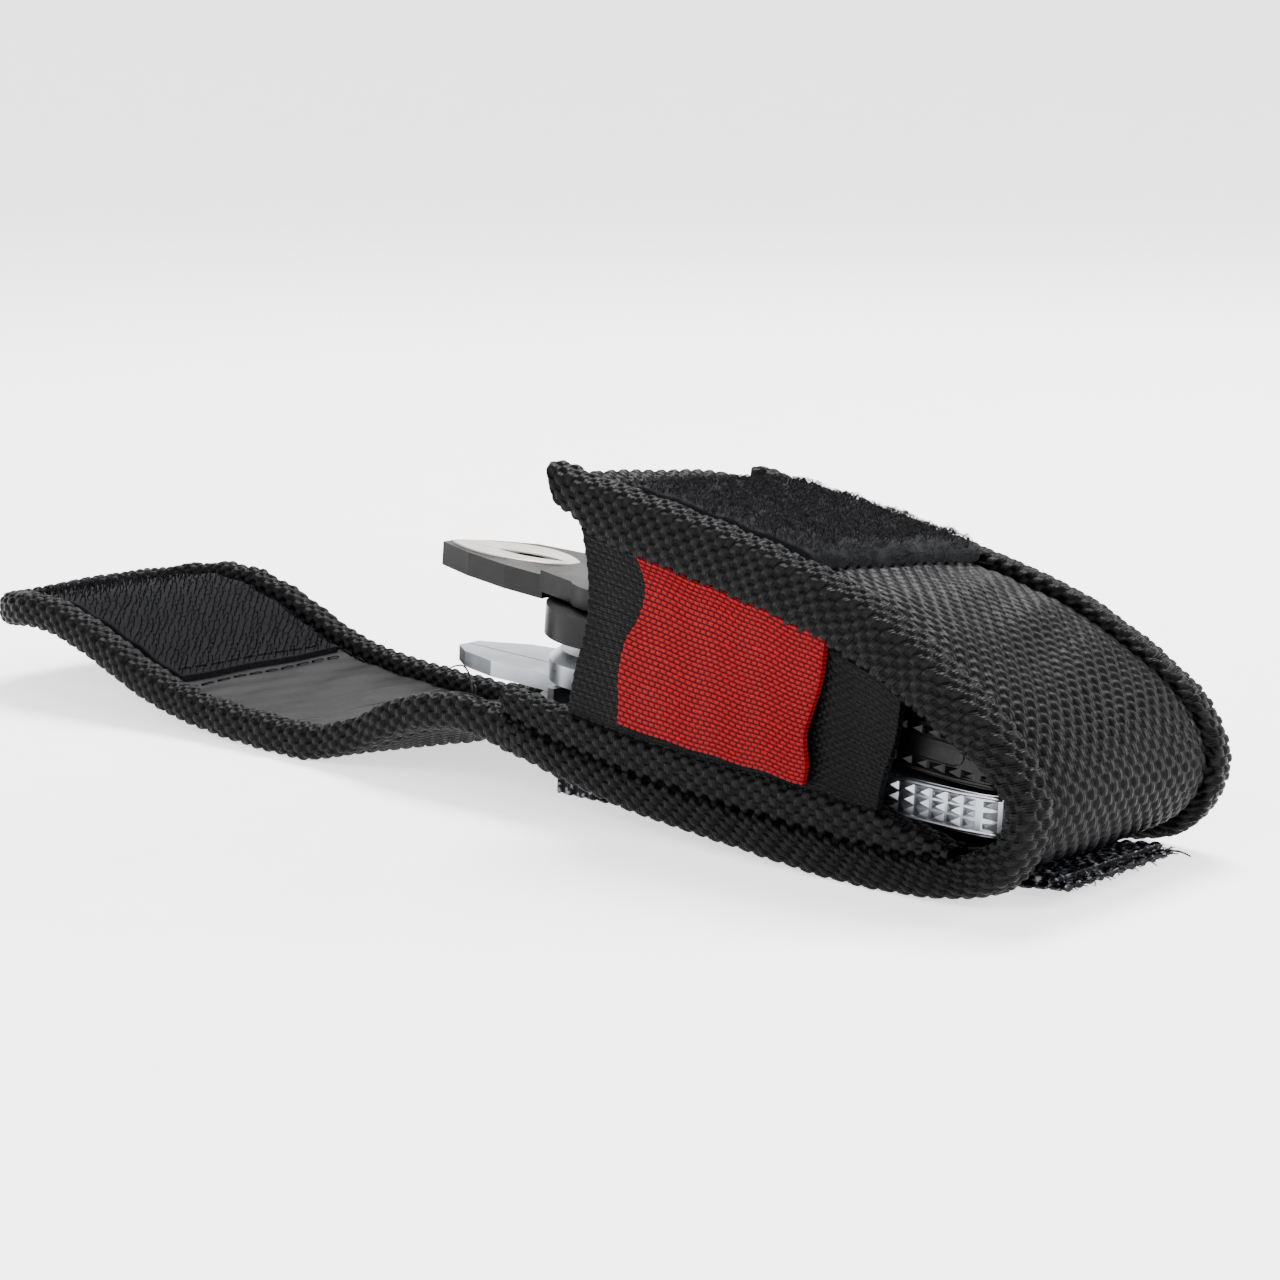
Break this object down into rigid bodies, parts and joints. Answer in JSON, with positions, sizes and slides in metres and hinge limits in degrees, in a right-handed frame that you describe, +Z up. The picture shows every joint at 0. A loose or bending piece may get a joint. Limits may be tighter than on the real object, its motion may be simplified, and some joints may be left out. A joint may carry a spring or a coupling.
{
  "type": "belt pouch with two hand tools",
  "caption": "Black nylon belt pouch lying open, with elastic side gussets, a red tab and a folding flap, holding small pump pliers above a pliers wrench.",
  "frame": {"origin": "underside of the strap's sewn foot, on the centre line, under the pouch's mouth", "axes": "+X along the pouch from its mouth to its closed round end, +Z up from the belt side to the front, +Y to the left when looking into the mouth"},
  "size_m": [0.1889, 0.0388, 0.0388],
  "materials": {
    "ballistic_nylon": "coarse basket-woven black nylon",
    "lining": "smooth coated black-grey lining cloth",
    "binding_tape": "ribbed woven black edge tape",
    "elastic_black": "fine ribbed black elastic",
    "elastic_red": "fine ribbed red elastic",
    "loop_fleece": "fuzzy blue-black loop pile",
    "hook_tape": "black hook tape, rows of fine hooks",
    "webbing": "flat woven black webbing",
    "thread": "black polyester sewing thread",
    "black_steel": "satin black oxide on forged steel",
    "polished_steel": "ground and polished steel",
    "chrome": "satin chrome plate on forged steel"
  },
  "bodies": {
    "pouch": {"body_panel": "ballistic_nylon", "body_lining": "lining", "body_binding_left": "binding_tape", "body_binding_right": "binding_tape", "mouth_binding": "binding_tape", "back_liner": "lining", "liner_binding_left": "binding_tape", "liner_binding_right": "binding_tape", "elastic_left": "elastic_black", "elastic_right": "elastic_black", "red_tab": "elastic_red", "loop_patch": "loop_fleece", "back_loop_patch": "loop_fleece", "strap_foot": "webbing", "hinge_bartacks": "thread"},
    "flap_root": {"flap_root_panel": "ballistic_nylon", "flap_root_binding": "binding_tape"},
    "flap_mid": {"flap_mid_panel": "ballistic_nylon", "flap_mid_binding": "binding_tape"},
    "flap_tip": {"flap_tip_panel": "ballistic_nylon", "flap_tip_binding": "binding_tape", "hook_patch": "hook_tape"},
    "flap_end": {"flap_end_panel": "ballistic_nylon", "flap_end_binding": "binding_tape", "hook_patch_end": "hook_tape"},
    "belt_strap": {"belt_strap": "webbing", "strap_hook_tape": "hook_tape"},
    "pump_inner": {"pump_inner_half": "black_steel"},
    "pump_bolt": {"pump_bolt": "polished_steel", "pump_bolt_washer": "black_steel", "pump_button_spring": "polished_steel"},
    "pump_slotted": {"pump_slotted_half": "black_steel"},
    "pump_button": {"pump_button": "black_steel"},
    "wrench_frame": {"wrench_frame_half": "chrome"},
    "wrench_bolt": {"wrench_bolt": "polished_steel", "wrench_bolt_washer": "chrome", "wrench_button_spring": "polished_steel"},
    "wrench_lever": {"wrench_lever_half": "chrome", "wrench_drive_pin": "polished_steel"},
    "wrench_jaw": {"wrench_sliding_jaw": "chrome"},
    "wrench_button": {"wrench_button": "black_steel"}
  },
  "joints": [
    {"name": "flap_hinge", "type": "hinge", "parent": "pouch", "child": "flap_root", "pos_m": [-0.005, 0, 0.0044], "axis": [0, 1, 0], "range_deg": [-30, 2]},
    {"name": "flap_fold_low", "type": "hinge", "parent": "flap_root", "child": "flap_mid", "pos_m": [-0.038, 0, 0.0043], "axis": [0, 1, 0], "range_deg": [0, 84]},
    {"name": "flap_fold_top", "type": "hinge", "parent": "flap_mid", "child": "flap_tip", "pos_m": [-0.06, 0, 0.00515], "axis": [0, 1, 0], "range_deg": [0, 64]},
    {"name": "flap_fold_end", "type": "hinge", "parent": "flap_tip", "child": "flap_end", "pos_m": [-0.102, 0, 0.0149], "axis": [0, 1, 0], "range_deg": [0, 26]},
    {"name": "strap_release", "type": "hinge", "parent": "pouch", "child": "belt_strap", "pos_m": [0.00225, 0, 0], "axis": [0, 1, 0], "range_deg": [0, 35]},
    {"name": "pump_slide", "type": "slide", "parent": "pouch", "child": "pump_inner", "axis": [-0.9954, 0, 0.0958], "range_m": [0, 0.112]},
    {"name": "pump_open", "type": "hinge", "parent": "pump_inner", "child": "pump_bolt", "pos_m": [-0.006, 0.003, 0.0209], "axis": [0.0958, 0, 0.9954], "range_deg": [0, 6.5]},
    {"name": "pump_adjust", "type": "slide", "parent": "pump_bolt", "child": "pump_slotted", "axis": [-0.9519, -0.2924, 0.0917], "range_m": [0, 0.006]},
    {"name": "pump_button_press", "type": "slide", "parent": "pump_bolt", "child": "pump_button", "axis": [-0.0958, 0, -0.9954], "range_m": [0, 0.0008], "stiffness_N_per_m": 400, "springref_m": -0.0008, "deforming": ["pump_button_spring"]},
    {"name": "wrench_slide", "type": "slide", "parent": "pouch", "child": "wrench_frame", "axis": [-0.9969, 0, 0.0785], "range_m": [0, 0.112]},
    {"name": "wrench_adjust", "type": "slide", "parent": "wrench_frame", "child": "wrench_bolt", "axis": [0, -1, 0], "range_m": [0, 0.004]},
    {"name": "wrench_open", "type": "hinge", "parent": "wrench_bolt", "child": "wrench_lever", "pos_m": [-0.006, 0.004, 0.0118], "axis": [0.0454, 0, 0.999], "range_deg": [0, 6.5]},
    {"name": "wrench_jaw_stroke", "type": "slide", "parent": "wrench_bolt", "child": "wrench_jaw", "axis": [0, -1, 0], "range_m": [0, 0.00095]},
    {"name": "wrench_button_press", "type": "slide", "parent": "wrench_bolt", "child": "wrench_button", "axis": [-0.0454, 0, -0.999], "range_m": [0, 0.0006], "stiffness_N_per_m": 400, "springref_m": -0.0008, "deforming": ["wrench_button_spring"]}
  ],
  "couplings": [
    {"joint": "wrench_jaw_stroke", "follows": "wrench_open", "m_per_rad": 0.008}
  ]
}
